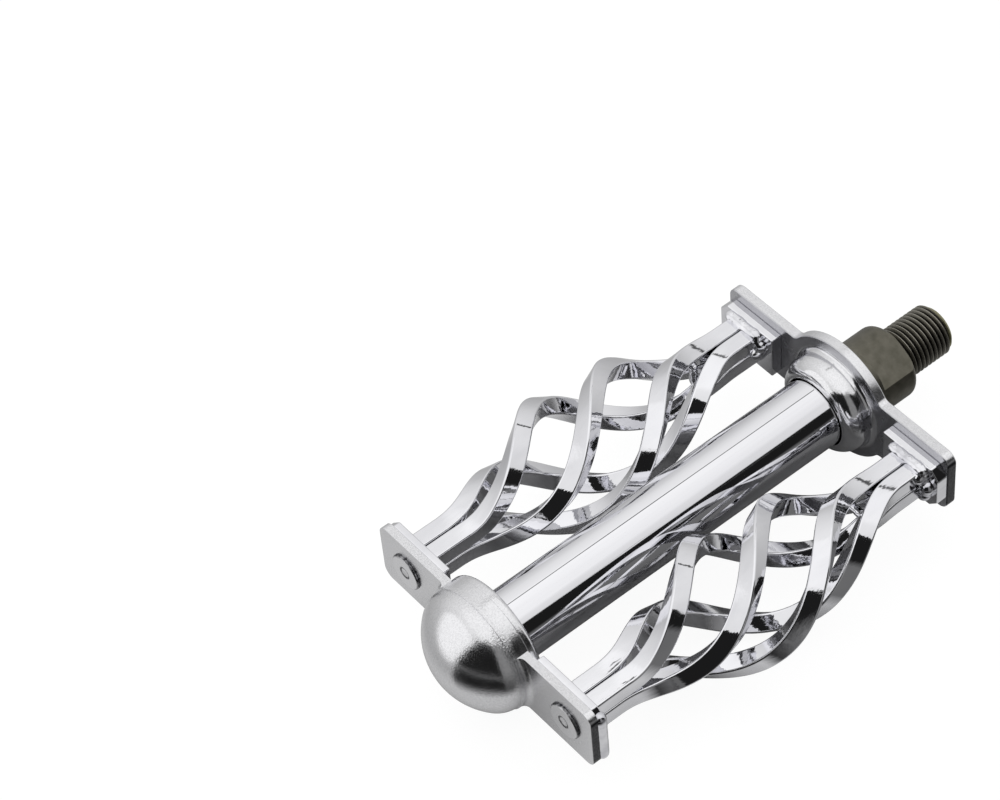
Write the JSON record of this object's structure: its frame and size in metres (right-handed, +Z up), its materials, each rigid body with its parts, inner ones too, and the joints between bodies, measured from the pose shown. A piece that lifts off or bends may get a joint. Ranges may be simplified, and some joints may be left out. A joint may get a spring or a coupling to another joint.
{
  "type": "cage pedal",
  "caption": "Bicycle pedal with a round tube between two pressed end straps, a basket cage of twisted square bars on each side, a domed outer end and a threaded spindle.",
  "frame": {"origin": "on the spindle's axis, at the shoulder that seats on the crank", "axes": "+Y along the spindle towards the crank, +X towards the front cage, +Z up"},
  "size_m": [0.0884, 0.1458, 0.0348],
  "materials": {
    "mirror_chrome": "polished chrome plate",
    "satin_chrome": "satin chrome plate on pressed steel",
    "spindle_steel": "dark oiled turned steel",
    "bearing_bronze": "plain turned bronze"
  },
  "bodies": {
    "spindle_body": {"spindle": "spindle_steel", "inner_thrust_washer": "spindle_steel", "outer_thrust_washer": "spindle_steel", "lock_nut": "spindle_steel"},
    "pedal_body": {"inner_bush": "bearing_bronze", "outer_bush": "bearing_bronze", "inner_end_strap": "satin_chrome", "outer_end_strap": "satin_chrome", "outer_end_disc": "satin_chrome", "inner_rivets": "satin_chrome", "outer_rivets": "satin_chrome", "center_tube": "mirror_chrome", "front_cage_outer_plate": "mirror_chrome", "front_cage_inner_plate": "mirror_chrome", "rear_cage_outer_plate": "mirror_chrome", "rear_cage_inner_plate": "mirror_chrome", "front_cage_bar_1": "mirror_chrome", "front_cage_bar_2": "mirror_chrome", "front_cage_bar_3": "mirror_chrome", "front_cage_bar_4": "mirror_chrome", "rear_cage_bar_1": "mirror_chrome", "rear_cage_bar_2": "mirror_chrome", "rear_cage_bar_3": "mirror_chrome", "rear_cage_bar_4": "mirror_chrome"}
  },
  "joints": [
    {"name": "pedal_spin", "type": "hinge", "parent": "spindle_body", "child": "pedal_body", "pos_m": [0, 0, 0], "axis": [0, 1, 0], "continuous": true}
  ]
}
